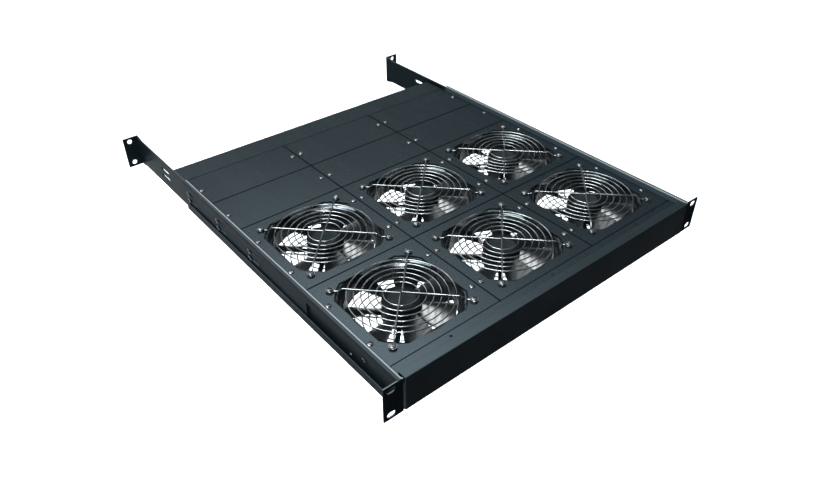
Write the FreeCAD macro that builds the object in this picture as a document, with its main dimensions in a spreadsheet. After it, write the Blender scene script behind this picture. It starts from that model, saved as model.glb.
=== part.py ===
# Rack fan tray, one rack unit high: a folded steel tray with six axial fans under wire finger
# guards, six blank plates, two side rails with front ears and two sliding rear brackets.
# Frame: origin at the middle of the front ears' seating face, +X right, +Y to the rear, +Z up.
import FreeCAD
import Part
import Sketcher
import os

SIZES = [
    # rack interface
    ("panel_wide", 482.6, "overall width across the ears"),
    ("panel_high", 43.6, "height of an ear, one rack unit less its play"),
    ("ear_hole_inset", 8.75, "ear holes from the ends of the panel"),
    ("ear_hole_span", "=panel_wide - 2 * ear_hole_inset", "left to right distance of the ear holes"),
    ("ear_hole_drop", 5.925, "ear holes from the top and bottom of the ear"),
    ("ear_hole_rise", "=panel_high - 2 * ear_hole_drop", "upper to lower distance of the ear holes"),
    ("ear_slot_long", 10.0, "length of a front ear slot"),
    ("ear_slot_high", 6.8, "height of a front ear slot"),
    ("rear_hole_wide", 7.0, "diameter of a rear ear hole"),
    # sheet metal
    ("sheet_thick", 1.5, "thickness of the tray and rail steel"),
    ("bend_out", 1.2, "outer radius of a sharp fold"),
    ("seat_gap", 0.25, "play between neighbouring plates, each side"),
    # tray frame
    ("deck_recess", 7.3, "deck below the top of the ears"),
    ("deck_top", "=panel_high / 2 - deck_recess", "height of the deck's upper face"),
    ("frame_lift", 2.0, "tray frame above the bottom of the ears"),
    ("frame_low", "=frame_lift - panel_high / 2", "lowest face of the tray frame"),
    ("fascia_high", "=panel_high - 1", "height of the front cover"),
    ("fascia_play", 1.5, "gap between the front cover and each rail"),
    ("fascia_wide", "=2 * (rail_half - sheet_thick - fascia_play)", "width of the front cover"),
    ("fascia_flange", 11.0, "depth of the front cover's top flange"),
    ("fascia_foot", 14.0, "depth of the front cover's bottom flange"),
    ("fascia_lift", 0.2, "gap between the cover's top lip and the deck"),
    ("strip_deep", 22.0, "depth of the front strip behind the ear face"),
    ("front_foot", 20.0, "depth of the front member's bottom flange"),
    ("rear_strip", 36.0, "depth of the rear strip"),
    ("rear_foot", 20.0, "depth of the rear member's bottom flange"),
    ("strip_hole_wide", 3.2, "diameter of the small holes in the strips"),
    ("strip_hole_front", 16.3, "place of the small holes in the front strip"),
    ("strip_hole_rear", 8.0, "distance of the rear holes behind the last plates"),
    ("ledge_wide", 13.0, "width of the side members' ledge"),
    ("side_foot", 10.0, "width of the side members' bottom flange"),
    ("bar_wide", 25.0, "width of the inner bars"),
    ("bar_high", 14.0, "height of the inner bars"),
    # plates
    ("column_pitch", "=2 * (rail_half - sheet_thick - seat_gap) / 3", "left to right pitch of the plates"),
    ("fan_row_spare", 20.5, "fan row deeper than its fans"),
    ("fan_row_deep", "=fan_wide + fan_row_spare", "depth of a fan plate"),
    ("blank_row_deep", "=fan_row_deep / 2", "depth of a blank plate"),
    ("plate_thick", 1.5, "thickness of the deck plates"),
    ("plate_screw_inset", 6.45, "plate screws from the sides of their plate"),
    ("plate_screw_span", "=column_pitch - 2 * plate_screw_inset", "left to right distance of a plate's screws"),
    ("plate_screw_pitch", "=fan_row_deep / 2", "front to rear pitch of a fan plate's screws"),
    ("opening_lap", 2.25, "fan plate lapping over its fan at the opening"),
    ("opening_wide", "=fan_wide - 2 * opening_lap", "width of the fan opening across its flats"),
    ("opening_corner", "=fan_wide / 2 + 8.75", "radius of the fan opening's corners"),
    # fan
    ("fan_play", 0.5, "gap between a fan and the bar beside it"),
    ("fan_wide", "=column_pitch - bar_wide - 2 * fan_play", "width of the fan housing"),
    ("fan_thick", 25.0, "thickness of the fan housing"),
    ("fan_corner", 5.0, "corner radius of the fan housing"),
    ("fan_screw_inset", 7.25, "fan screws from the sides of the housing"),
    ("fan_screw_pitch", "=fan_wide - 2 * fan_screw_inset", "pitch of the fan's four screws"),
    ("fan_hole_wide", 4.3, "diameter of the fan's screw holes"),
    ("bore_lap", 1.25, "housing left at the sides of the air passage"),
    ("bore_wide", "=fan_wide - 2 * bore_lap", "diameter of the fan's air passage"),
    ("bore_wall", "=bore_lap - 0.35", "least wall of the fan housing beside the passage"),
    ("flare_wide", "=fan_wide + 13.5", "diameter of the inlet flare"),
    ("flare_deep", 7.0, "depth of the inlet flare"),
    ("flare_rise", 7.0, "widening of the flare at its lower bend"),
    ("strut_thick", 2.4, "height of the motor struts"),
    ("strut_wide", 5.0, "width of the motor struts"),
    ("base_wide", 44.0, "diameter of the motor base"),
    ("base_thick", 3.0, "thickness of the motor base"),
    ("tube_wide", 9.0, "outer diameter of the bearing tube"),
    ("tube_long", 14.0, "height of the bearing tube above the base"),
    ("shaft_wide", 4.0, "diameter of the fan shaft"),
    ("shaft_play", 0.05, "radial play of the shaft in its tube"),
    # impeller
    ("hub_wide", 42.0, "diameter of the impeller hub"),
    ("hub_high", 19.5, "height of the impeller hub"),
    ("hub_wall", 1.6, "wall of the impeller hub"),
    ("hub_recess", 1.5, "hub top below the housing's upper face"),
    ("hub_round", 1.5, "radius of the hub's top edge"),
    ("tip_gap", 1.0, "gap between the blade tips and the passage"),
    ("blade_top", 7.0, "blade top below the housing's upper face"),
    ("blade_drop", 13.5, "height of a blade"),
    ("blade_count", 7, "number of blades"),
    ("blade_root_half", "=20 * 7 / blade_count", "half the angle that a blade covers at the hub"),
    ("blade_tip_half", "=16 * 7 / blade_count", "half the angle that a blade covers at its tip"),
    ("blade_camber", 1.0, "rise of a blade's middle above its chord"),
    ("blade_thick", 1.5, "thickness of a blade, measured upright"),
    ("blade_turn", 46.5, "angle of the first blade"),
    # stator
    ("stator_wide", "=hub_wide - 2 * hub_wall - 4", "diameter over the stator poles"),
    ("stator_high", 9.0, "height of the stator"),
    ("pole_wide", 11.0, "width of a stator pole"),
    # finger guard
    ("ring_first", 18.5, "radius of the innermost guard ring"),
    ("ring_inset", 2.0, "outermost guard ring inside the air passage"),
    ("ring_step", "=(bore_wide / 2 - ring_inset - ring_first) / (ring_count - 1)", "radius from one guard ring to the next"),
    ("ring_count", 6, "number of guard rings"),
    ("ring_wire", 1.8, "thickness of the ring wire"),
    ("spoke_wire", 2.2, "thickness of the spoke wire"),
    ("guard_rise", 4.0, "height of the spokes above their seats"),
    ("guard_knee", "=fan_screw_pitch * sqrt(2) / 2 - 14.25", "radius where a spoke starts to drop"),
    ("guard_foot", "=fan_screw_pitch * sqrt(2) / 2 - 8.75", "radius where a spoke reaches its seat"),
    ("spoke_bend", 1.3, "distance of each spoke's middle bend from the centre"),
    # fasteners
    ("bolt_wide", 3.8, "diameter of a guard bolt"),
    ("bolt_head_wide", 8.0, "diameter of a guard bolt's head"),
    ("bolt_head_high", 2.0, "height of a guard bolt's head"),
    ("nut_wide", 8.0, "diameter over the corners of a guard nut"),
    ("nut_high", 3.2, "height of a guard nut"),
    ("screw_head_wide", 6.0, "diameter of a plate screw's head"),
    ("screw_head_high", 1.8, "height of a plate screw's head"),
    ("rail_screw_wide", 6.4, "diameter of a rail screw's head"),
    ("rail_screw_high", 1.5, "height of a rail screw's head"),
    ("rail_screw_place", 56.0, "rail screw behind the ears"),
    ("rail_hole_wide", 3.4, "diameter of the spare hole in a rail's web"),
    ("rail_hole_place", 79.0, "spare hole behind the ears"),
    ("rail_hole_drop", 9.5, "spare hole below the middle of the web"),
    # rails and brackets
    ("ear_wide", 21.3, "width of an ear outside its rail's web"),
    ("rail_half", "=panel_wide / 2 - ear_wide", "outer face of a rail's web from the middle"),
    ("rail_flange", 4.5, "reach of a rail's flanges beyond its web"),
    ("rail_high", "=panel_high - 1.6", "height of a rail"),
    ("rail_lip", 9.8, "height of a rail's lips"),
    ("rail_end", 433.0, "rear end of a rail"),
    ("bracket_thick", 2.0, "thickness of a rear bracket"),
    ("bracket_play", 0.2, "play between a rear bracket and its rail"),
    ("bracket_start", 153.0, "front end of a rear bracket"),
    ("bracket_long", 434.0, "length of a rear bracket"),
    ("bracket_flare", 18.0, "length of the bracket's widening before its ear"),
    ("clamp_first", 7.0, "distance of the last clamp screws before the rail's end"),
    ("clamp_pitch", 77.5, "front to rear pitch of the clamp screws"),
    ("clamp_count", 3, "pairs of clamp screws on one side"),
    ("clamp_rise", 10.0, "upper to lower distance of a clamp pair"),
    ("clamp_wide", 3.9, "diameter of a clamp screw"),
    ("clamp_play", 0.1, "radial play of a clamp screw in its rail"),
    ("clamp_head_wide", 7.0, "diameter of a clamp screw's head"),
    ("clamp_head_high", 1.6, "height of a clamp screw's head"),
    ("slot_long", 24.0, "length of a bracket slot"),
    ("slot_high", 4.4, "height of a bracket slot"),
    ("slot_rest", 7.0, "clamp screw behind the slot's middle at rest"),
    # power inlet
    ("inlet_wide", 27.0, "width of the inlet's body"),
    ("inlet_high", 19.5, "height of the inlet's body"),
    ("inlet_deep", 16.0, "depth of the inlet's body"),
    ("inlet_rim", 2.2, "rim of the inlet around its body"),
    ("inlet_rim_thick", 2.0, "thickness of the inlet's rim"),
    ("inlet_wall", 2.0, "wall of the inlet"),
    ("inlet_play", 0.2, "play of the inlet in its cut-out"),
    ("pin_pitch", 7.0, "pitch of the inlet's pins"),
    ("inlet_place", "=panel_wide / 2 - ear_wide - 70", "inlet from the middle of the rear wall"),
]

V = FreeCAD.Vector
doc = FreeCAD.newDocument("rack_fan_tray")
sheet = doc.addObject("Spreadsheet::Sheet", "Sizes")
for row, (alias, value, meaning) in enumerate(SIZES, start=1):
    sheet.set(f"A{row}", meaning)
    sheet.setAlias(f"B{row}", alias)
for row, (alias, value, meaning) in enumerate(SIZES, start=1):
    sheet.set(f"B{row}", str(value))
doc.recompute()

parts = {}


def size(alias):
    """The value of a driving size."""
    return float(getattr(sheet, alias))


def bound(text):
    """An expression in which every driving size is read from the sheet."""
    out = text
    for alias in sorted((name for name, _, _ in SIZES), key=len, reverse=True):
        out = out.replace(f"<{alias}>", f"Sizes.{alias}")
    return out


def number(text):
    """What an expression is worth now."""
    return float(sheet.evalExpression(bound(text)))


def bind(obj, **sizes):
    """Bind properties of an object to expressions; a double underscore stands for a dot."""
    for prop, text in sizes.items():
        obj.setExpression(prop.replace("__", "."), bound(text))
    return obj


def place(obj, x="0", y="0", z="0"):
    """Bind the place of an object."""
    return bind(obj, Placement__Base__x=x, Placement__Base__y=y, Placement__Base__z=z)


def turn(obj, axis, angle):
    """Turn an object about one of its axes by a bound angle."""
    obj.Placement.Rotation = FreeCAD.Rotation(axis, 1)
    obj.setExpression("Placement.Rotation.Angle", bound(angle))
    return obj


def keep(node, obj):
    """Name a finished sub-part."""
    obj.Label = node
    parts[node] = obj
    return obj


# ---------------------------------------------------------------- sketch helpers

def new_sketch(body, role, offset=None):
    """A sketch on one of the body's own origin planes, lifted by a bound offset."""
    sketch = body.newObject("Sketcher::SketchObject", "sketch")
    plane = [item for item in body.Origin.OriginFeatures if item.Role == role][0]
    sketch.AttachmentSupport = (plane, [""])
    sketch.MapMode = "FlatFace"
    if offset:
        sketch.setExpression("AttachmentOffset.Base.z", bound(offset))
    return sketch


def constrain(sketch, kind, geo, pos, text):
    """Hold a point of the sketch, or a radius, to an expression."""
    value = number(text)
    if kind == "Radius":
        item = Sketcher.Constraint(kind, geo, value)
    else:
        item = Sketcher.Constraint(kind, -1, 1, geo, pos, value)
    index = sketch.addConstraint(item)
    sketch.setExpression(f"Constraints[{index}]", bound(text))


def outline(sketch, points):
    """A closed outline of straight lines through points given as pairs of expressions."""
    first = sketch.GeometryCount
    spots = [V(number(x), number(y), 0) for x, y in points]
    count = len(points)
    for i in range(count):
        sketch.addGeometry(Part.LineSegment(spots[i], spots[(i + 1) % count]), False)
    for i in range(count):
        sketch.addConstraint(Sketcher.Constraint("Coincident", first + i, 2, first + (i + 1) % count, 1))
    for i, (x, y) in enumerate(points):
        constrain(sketch, "DistanceX", first + i, 1, x)
        constrain(sketch, "DistanceY", first + i, 1, y)
    return sketch


def circle(sketch, x, y, radius):
    """A circle with bound centre and radius."""
    spot = V(number(x), number(y), 0)
    geo = sketch.addGeometry(Part.Circle(spot, V(0, 0, 1), number(radius)), False)
    constrain(sketch, "DistanceX", geo, 3, x)
    constrain(sketch, "DistanceY", geo, 3, y)
    constrain(sketch, "Radius", geo, 0, radius)
    return sketch


def rectangle(sketch, x0, x1, y0, y1):
    """A rectangle between bound sides."""
    return outline(sketch, [(x0, y0), (x1, y0), (x1, y1), (x0, y1)])


def polygon(sketch, x, y, radius, sides=8):
    """A regular polygon with a bound radius across its flats, for a hole that no one bolts to."""
    half_turn = 180 / sides
    points = []
    for k in range(sides):
        angle = (2 * k + 1) * half_turn
        reach = f"({radius})/cos({half_turn} deg)"
        points.append((f"({x})+{reach}*cos({angle} deg)", f"({y})+{reach}*sin({angle} deg)"))
    return outline(sketch, points)


def plain_slot(sketch, x, y, long, high):
    """A slot along the sketch's first axis, its ends cut back at three flats."""
    end = f"({long})/2"
    side = f"({high})/2"
    cut_back = f"({high})*0.29"
    points = []
    for i, j in ((1, 1), (-1, 1), (-1, -1), (1, -1)):
        near_end = (f"({x})+{i}*{end}", f"({y})+{j}*({side}-{cut_back})")
        near_side = (f"({x})+{i}*({end}-{cut_back})", f"({y})+{j}*{side}")
        points += [near_end, near_side] if i * j > 0 else [near_side, near_end]
    return outline(sketch, points)


def slot(sketch, x, y, long, high):
    """A slot along the sketch's first axis, with round ends."""
    half = f"(({long})-({high}))/2"
    radius = number(f"({high})/2")
    ends = [V(number(f"({x})-{half}"), number(y), 0), V(number(f"({x})+{half}"), number(y), 0)]
    up = V(0, radius, 0)
    quarter = 1.5707963267948966
    left = sketch.addGeometry(
        Part.ArcOfCircle(Part.Circle(ends[0], V(0, 0, 1), radius), quarter, 3 * quarter), False)
    low = sketch.addGeometry(Part.LineSegment(ends[0] - up, ends[1] - up), False)
    right = sketch.addGeometry(
        Part.ArcOfCircle(Part.Circle(ends[1], V(0, 0, 1), radius), -quarter, quarter), False)
    top = sketch.addGeometry(Part.LineSegment(ends[1] + up, ends[0] + up), False)
    for a, b in ((left, low), (low, right), (right, top), (top, left)):
        sketch.addConstraint(Sketcher.Constraint("Tangent", a, 2, b, 1))
    sketch.addConstraint(Sketcher.Constraint("Equal", left, right))
    constrain(sketch, "DistanceX", left, 3, f"({x})-{half}")
    constrain(sketch, "DistanceY", left, 3, y)
    constrain(sketch, "DistanceX", right, 3, f"({x})+{half}")
    constrain(sketch, "DistanceY", right, 3, y)
    constrain(sketch, "Radius", left, 0, f"({high})/2")
    return sketch


# ---------------------------------------------------------------- body helpers

def new_body(name):
    return doc.addObject("PartDesign::Body", name)


def pad(body, sketch, length, middle=False, reverse=False):
    """Raise a sketch by a bound length."""
    feature = body.newObject("PartDesign::Pad", "pad")
    feature.Profile = sketch
    feature.Midplane = middle
    feature.Reversed = reverse
    bind(feature, Length=length)
    return feature


def pocket(body, sketch, reverse=False):
    """Cut a sketch right through the body, and make sure that it removed something."""
    doc.recompute()
    before = body.Shape.Volume
    feature = body.newObject("PartDesign::Pocket", "pocket")
    feature.Profile = sketch
    feature.Type = "ThroughAll"
    feature.Midplane = True
    feature.Reversed = reverse
    doc.recompute()
    if not body.Shape.Volume < before:
        raise RuntimeError(f"a cut in {body.Name} removed nothing")
    return feature


def copy_of(node, master, x, y, z="0"):
    """A further copy of a master piece, with its own place."""
    item = doc.addObject("Part::Compound", node)
    item.Links = [master]
    place(item, x, y, z)
    return keep(node, item)


def primitive(kind, **sizes):
    """A Part primitive with bound sizes; x, y and z bind its place."""
    spot = {axis: sizes.pop(axis) for axis in ("x", "y", "z") if axis in sizes}
    item = doc.addObject(f"Part::{kind}", kind.lower())
    bind(item, **sizes)
    place(item, **spot)
    return item


def block(x0, x1, y0, y1, z0, z1):
    """A box between bound sides."""
    return primitive("Box", Length=f"({x1})-({x0})", Width=f"({y1})-({y0})", Height=f"({z1})-({z0})",
                     x=x0, y=y0, z=z0)


def prism(sides, radius, high, **spot):
    """A few-sided pin, head or ring blank."""
    item = doc.addObject("Part::Prism", "prism")
    item.Polygon = sides
    bind(item, Circumradius=radius, Height=high)
    place(item, **spot)
    return item


def fuse(*items):
    joined = doc.addObject("Part::MultiFuse", "fuse")
    joined.Shapes = list(items)
    return joined


def cut(base, tool):
    result = doc.addObject("Part::Cut", "cut")
    result.Base = base
    result.Tool = tool
    return result


def common(first, second):
    result = doc.addObject("Part::Common", "common")
    result.Base = first
    result.Tool = second
    return result


def group(*items):
    """Several separate solids held as one piece or one set."""
    item = doc.addObject("Part::Compound", "group")
    item.Links = list(items)
    return item


# ---------------------------------------------------------------- shared places

DECK_UNDER = "<deck_top>-<plate_thick>"
PLATE_START = "<strip_deep>"
PLATE_END = "<strip_deep>+2*<fan_row_deep>+2*<blank_row_deep>"
TRAY_BACK = f"{PLATE_END}+<rear_strip>"
SIDE_FACE = "<rail_half>-<sheet_thick>"
COLUMNS = [("left", -1), ("middle", 0), ("right", 1)]
SIDES = [("left", -1), ("right", 1)]
FANS = [(f"{row}_{column}", i, j)
        for j, row in enumerate(("front", "second"))
        for column, i in COLUMNS]


def column_x(i):
    return f"{i}*<column_pitch>"


def fan_y(j):
    return f"<strip_deep>+({j}+0.5)*<fan_row_deep>"


def blank_y(j):
    return f"<strip_deep>+2*<fan_row_deep>+({j}+0.5)*<blank_row_deep>"


# ---------------------------------------------------------------- tray frame

def make_fascia():
    """Front cover: a folded channel that stands proud of the deck, with a lip down to it."""
    body = new_body("fascia")
    front = "-2*<sheet_thick>"
    top = "<fascia_high>/2"
    low = "-<fascia_high>/2"
    sketch = outline(new_sketch(body, "YZ_Plane"), [
        (front, f"{low}+<bend_out>"),
        (f"{front}+<bend_out>", low),
        (f"{front}+<fascia_foot>", low),
        (f"{front}+<fascia_foot>", f"{low}+<sheet_thick>"),
        (f"{front}+<sheet_thick>", f"{low}+<sheet_thick>"),
        (f"{front}+<sheet_thick>", f"{top}-<sheet_thick>"),
        (f"{front}+<fascia_flange>-<sheet_thick>", f"{top}-<sheet_thick>"),
        (f"{front}+<fascia_flange>-<sheet_thick>", "<deck_top>+<fascia_lift>"),
        (f"{front}+<fascia_flange>", "<deck_top>+<fascia_lift>"),
        (f"{front}+<fascia_flange>", top),
        (f"{front}+<bend_out>", top),
        (f"{front}+<bend_out>*0.3", f"{top}-<bend_out>*0.3"),
        (front, f"{top}-<bend_out>"),
    ])
    pad(body, sketch, "<fascia_wide>", middle=True)
    keep("fascia", body)


def make_front_member():
    """Front cross member: a channel whose top flange is the strip before the plates."""
    body = new_body("front_member")
    sketch = outline(new_sketch(body, "YZ_Plane"), [
        ("-<sheet_thick>", "<frame_low>"),
        ("<front_foot>", "<frame_low>"),
        ("<front_foot>", "<frame_low>+<sheet_thick>"),
        ("0", "<frame_low>+<sheet_thick>"),
        ("0", DECK_UNDER),
        (f"{PLATE_START}-<seat_gap>", DECK_UNDER),
        (f"{PLATE_START}-<seat_gap>", "<deck_top>"),
        ("-<sheet_thick>", "<deck_top>"),
    ])
    pad(body, sketch, f"2*({SIDE_FACE})-2*<seat_gap>", middle=True)
    holes = new_sketch(body, "XY_Plane")
    for _, i in COLUMNS:
        polygon(holes, column_x(i), "<strip_hole_front>", "<strip_hole_wide>/2")
    cut_down_to_deck(body, holes)
    keep("front_member", body)


def cut_down_to_deck(body, sketch):
    """Holes through a top flange only, not through the flange below it."""
    doc.recompute()
    before = body.Shape.Volume
    feature = body.newObject("PartDesign::Pocket", "holes")
    feature.Profile = sketch
    feature.Type = "Length"
    feature.Reversed = True
    bind(feature, Length="<deck_top>+<sheet_thick>")
    doc.recompute()
    if not body.Shape.Volume < before:
        raise RuntimeError(f"the holes in {body.Name} removed nothing")


def make_rear_member():
    """Rear cross member: wide strip behind the plates, rear wall and bottom flange."""
    body = new_body("rear_member")
    sketch = outline(new_sketch(body, "YZ_Plane"), [
        (f"{TRAY_BACK}-<bend_out>*0.5", "<frame_low>"),
        (TRAY_BACK, "<frame_low>+<bend_out>*0.5"),
        (TRAY_BACK, "<deck_top>-<bend_out>*0.5"),
        (f"{TRAY_BACK}-<bend_out>*0.5", "<deck_top>"),
        (f"{PLATE_END}+<seat_gap>", "<deck_top>"),
        (f"{PLATE_END}+<seat_gap>", DECK_UNDER),
        (f"{TRAY_BACK}-<sheet_thick>", DECK_UNDER),
        (f"{TRAY_BACK}-<sheet_thick>", "<frame_low>+<sheet_thick>"),
        (f"{TRAY_BACK}-<rear_foot>", "<frame_low>+<sheet_thick>"),
        (f"{TRAY_BACK}-<rear_foot>", "<frame_low>"),
    ])
    pad(body, sketch, f"2*({SIDE_FACE})-2*<seat_gap>", middle=True)
    holes = new_sketch(body, "XY_Plane")
    for _, i in COLUMNS:
        polygon(holes, column_x(i), f"{PLATE_END}+<strip_hole_rear>", "<strip_hole_wide>/2")
    cut_down_to_deck(body, holes)
    window = new_sketch(body, "XZ_Plane")
    rectangle(window,
              "<inlet_place>-<inlet_wide>/2-<inlet_play>", "<inlet_place>+<inlet_wide>/2+<inlet_play>",
              "-<inlet_high>/2-<inlet_play>+<deck_top>/2+<frame_low>/2",
              "<inlet_high>/2+<inlet_play>+<deck_top>/2+<frame_low>/2")
    pocket(body, window)
    keep("rear_member", body)


def make_side_member(side, way):
    """Side member: ledge under the plates' outer edges, web against the rail, bottom flange."""
    body = new_body(f"{side}_side_member")
    face = f"{way}*({SIDE_FACE})"
    inner = f"{way}*({SIDE_FACE}-<sheet_thick>)"
    sketch = outline(new_sketch(body, "XZ_Plane"), [
        (face, "<frame_low>+<sheet_thick>"),
        (face, DECK_UNDER),
        (f"{way}*({SIDE_FACE}-<ledge_wide>)", DECK_UNDER),
        (f"{way}*({SIDE_FACE}-<ledge_wide>)", f"{DECK_UNDER}-<sheet_thick>"),
        (inner, f"{DECK_UNDER}-<sheet_thick>"),
        (inner, "<frame_low>+2*<sheet_thick>"),
        (f"{way}*({SIDE_FACE}-<side_foot>)", "<frame_low>+2*<sheet_thick>"),
        (f"{way}*({SIDE_FACE}-<side_foot>)", "<frame_low>+<sheet_thick>"),
    ])
    pad(body, sketch, f"{TRAY_BACK}-<sheet_thick>", reverse=True)
    keep(f"{side}_side_member", body)


def make_inner_bar(side, way):
    """Inner bar: an upturned channel under the joint between two columns of plates."""
    body = new_body(f"{side}_inner_bar")
    sketch = outline(new_sketch(body, "XZ_Plane"), [
        ("-<bar_wide>/2", f"{DECK_UNDER}-<bar_high>"),
        ("-<bar_wide>/2", DECK_UNDER),
        ("<bar_wide>/2", DECK_UNDER),
        ("<bar_wide>/2", f"{DECK_UNDER}-<bar_high>"),
        ("<bar_wide>/2-<sheet_thick>", f"{DECK_UNDER}-<bar_high>"),
        ("<bar_wide>/2-<sheet_thick>", f"{DECK_UNDER}-<sheet_thick>"),
        ("-<bar_wide>/2+<sheet_thick>", f"{DECK_UNDER}-<sheet_thick>"),
        ("-<bar_wide>/2+<sheet_thick>", f"{DECK_UNDER}-<bar_high>"),
    ])
    pad(body, sketch, f"{TRAY_BACK}-<sheet_thick>", reverse=True)
    place(body, f"{way}*<column_pitch>/2")
    keep(f"{side}_inner_bar", body)


# ---------------------------------------------------------------- deck plates

def make_fan_plate():
    """Fan plate, about its fan's centre: a square opening with its corners cut on a circle."""
    body = new_body("fan_plate")
    sketch = rectangle(new_sketch(body, "XY_Plane"),
                       "-<column_pitch>/2+<seat_gap>", "<column_pitch>/2-<seat_gap>",
                       "-<fan_row_deep>/2+<seat_gap>", "<fan_row_deep>/2-<seat_gap>")
    pad(body, sketch, "<plate_thick>")
    half = "<opening_wide>/2"
    points = []
    for quarter in range(4):
        for step in range(4):
            lean = f"acos({half}/<opening_corner>)"
            angle = f"({90 * quarter} deg+{lean}+(90 deg-2*{lean})*{step}/3)"
            points.append((f"<opening_corner>*cos({angle})", f"<opening_corner>*sin({angle})"))
    window = outline(new_sketch(body, "XY_Plane"), points)
    pocket(body, window)
    holes = new_sketch(body, "XY_Plane")
    for i in (-1, 1):
        for j in (-1, 1):
            polygon(holes, f"{i}*<fan_screw_pitch>/2", f"{j}*<fan_screw_pitch>/2", "<fan_hole_wide>/2")
    pocket(body, holes)
    return body


def make_blank_plate():
    """Blank plate, about its middle."""
    body = new_body("blank_plate")
    sketch = rectangle(new_sketch(body, "XY_Plane"),
                       "-<column_pitch>/2+<seat_gap>", "<column_pitch>/2-<seat_gap>",
                       "-<blank_row_deep>/2+<seat_gap>", "<blank_row_deep>/2-<seat_gap>")
    pad(body, sketch, "<plate_thick>")
    return body


# ---------------------------------------------------------------- fan

def fan_corners():
    """Signs of a fan's four corners."""
    return [(i, j) for i in (-1, 1) for j in (-1, 1)]


BORE_SIDES = 20
SHAFT_SIDES = 12


def make_housing():
    """Fan housing, its upper face at zero: square frame, air passage, struts and bearing tube."""
    side = "<fan_wide>/2"
    body = new_body("housing_block")
    points = []
    for i, j in ((1, 1), (-1, 1), (-1, -1), (1, -1)):
        by_side = (f"{i}*{side}", f"{j}*({side}-<fan_corner>)")
        by_end = (f"{i}*({side}-<fan_corner>)", f"{j}*{side}")
        middle = (f"{i}*({side}-<fan_corner>*0.29)", f"{j}*({side}-<fan_corner>*0.29)")
        points += [by_side, middle, by_end] if i * j > 0 else [by_end, middle, by_side]
    pad(body, outline(new_sketch(body, "XY_Plane"), points), "<fan_thick>", reverse=True)
    round_up = f"/cos({180 / BORE_SIDES} deg)"
    passage = prism(BORE_SIDES, f"<bore_wide>/2{round_up}", "<fan_thick>+2", z="-<fan_thick>-1")
    flare = make_flare()
    wall = f"{side}-<bore_wall>"
    flare_limit = block(f"-({wall})", wall, f"-({wall})", wall, "-<flare_deep>-1", "1")
    opened = cut(body, fuse(passage, common(flare, flare_limit)))
    struts = []
    for turn_by in (45, 135):
        beam = block("-<bore_wide>/2-1", "<bore_wide>/2+1", "-<strut_wide>/2", "<strut_wide>/2",
                     "-<fan_thick>", "-<fan_thick>+<strut_thick>")
        turned = group(beam)
        turned.Placement.Rotation = FreeCAD.Rotation(V(0, 0, 1), turn_by)
        struts.append(turned)
    base = prism(16, "<base_wide>/2", "<base_thick>", z="-<fan_thick>")
    tube = prism(8, "<tube_wide>/2", "<base_thick>+<tube_long>", z="-<fan_thick>")
    holes = [prism(8, "<fan_hole_wide>/2/cos(22.5 deg)", "<fan_thick>+2",
                   x=f"{i}*<fan_screw_pitch>/2", y=f"{j}*<fan_screw_pitch>/2", z="-<fan_thick>-1")
             for i, j in fan_corners()]
    shaft_hole = prism(SHAFT_SIDES, f"(<shaft_wide>/2+<shaft_play>)/cos({180 / SHAFT_SIDES} deg)",
                       "<tube_long>", z="-<fan_thick>+<base_thick>")
    return cut(fuse(opened, *struts, base, tube), fuse(shaft_hole, *holes))


def make_flare():
    """The inlet flare's cutter: a many-sided cup that widens to the housing's upper face."""
    carrier = new_body("flare_sections")
    round_up = f"/cos({180 / BORE_SIDES} deg)"
    sections = []
    for height, wide in (("-<flare_deep>", "<bore_wide>"), ("-<flare_deep>*0.4", "<bore_wide>+<flare_rise>"),
                         ("0.01", "<flare_wide>")):
        ring = new_sketch(carrier, "XY_Plane", height)
        points = []
        for k in range(BORE_SIDES):
            angle = 360 * k / BORE_SIDES
            points.append((f"({wide})/2{round_up}*cos({angle} deg)", f"({wide})/2{round_up}*sin({angle} deg)"))
        sections.append(outline(ring, points))
    loft = doc.addObject("Part::Loft", "flare")
    loft.Sections = sections
    loft.Solid = True
    loft.Ruled = True
    return loft


def make_stator():
    """Stator: a stack of four poles around the bearing tube."""
    body = new_body("stator")
    reach = "<stator_wide>/2"
    half = "<pole_wide>/2"
    waist = "<tube_wide>/2+2"
    sketch = outline(new_sketch(body, "XY_Plane"), [
        (reach, f"-({half})"), (reach, half), (waist, waist), (half, reach),
        (f"-({half})", reach), (f"-({waist})", waist), (f"-({reach})", half), (f"-({reach})", f"-({half})"),
        (f"-({waist})", f"-({waist})"), (f"-({half})", f"-({reach})"), (half, f"-({reach})"),
        (waist, f"-({waist})"),
    ])
    points = [(f"<tube_wide>/2*cos({45 * k} deg)", f"<tube_wide>/2*sin({45 * k} deg)") for k in range(8)]
    outline(sketch, points)
    pad(body, sketch, "<stator_high>")
    return body


def make_impeller():
    """Impeller, about its axis with the housing's upper face at zero: hub cup, blades and shaft."""
    top = "-<hub_recess>"
    low = "-<hub_recess>-<hub_high>"
    cup = prism(HUB_SIDES, "<hub_wide>/2", "<hub_high>-<hub_round>", z=low)
    crown = prism(HUB_SIDES, "<hub_wide>/2-<hub_round>", "<hub_round>", z=f"{top}-<hub_round>")
    hollow = prism(HUB_SIDES, "<hub_wide>/2-<hub_wall>", "<hub_high>-<hub_wall>", z=low)
    shaft_long = "<fan_thick>-<base_thick>-<hub_recess>-<hub_wall>/2-1"
    shaft = primitive("Cylinder", Radius="<shaft_wide>/2", Height=shaft_long,
                      z=f"{top}-<hub_wall>/2-({shaft_long})")
    blade = make_blade()
    blades = []
    for k in range(int(size("blade_count"))):
        copy = group(blade)
        turn(copy, V(0, 0, 1), f"{k}*360/<blade_count>")
        blades.append(copy)
    return fuse(cut(fuse(cup, crown), hollow), shaft, *blades)


HUB_SIDES = 16
BLADE_STEPS = 2


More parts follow.
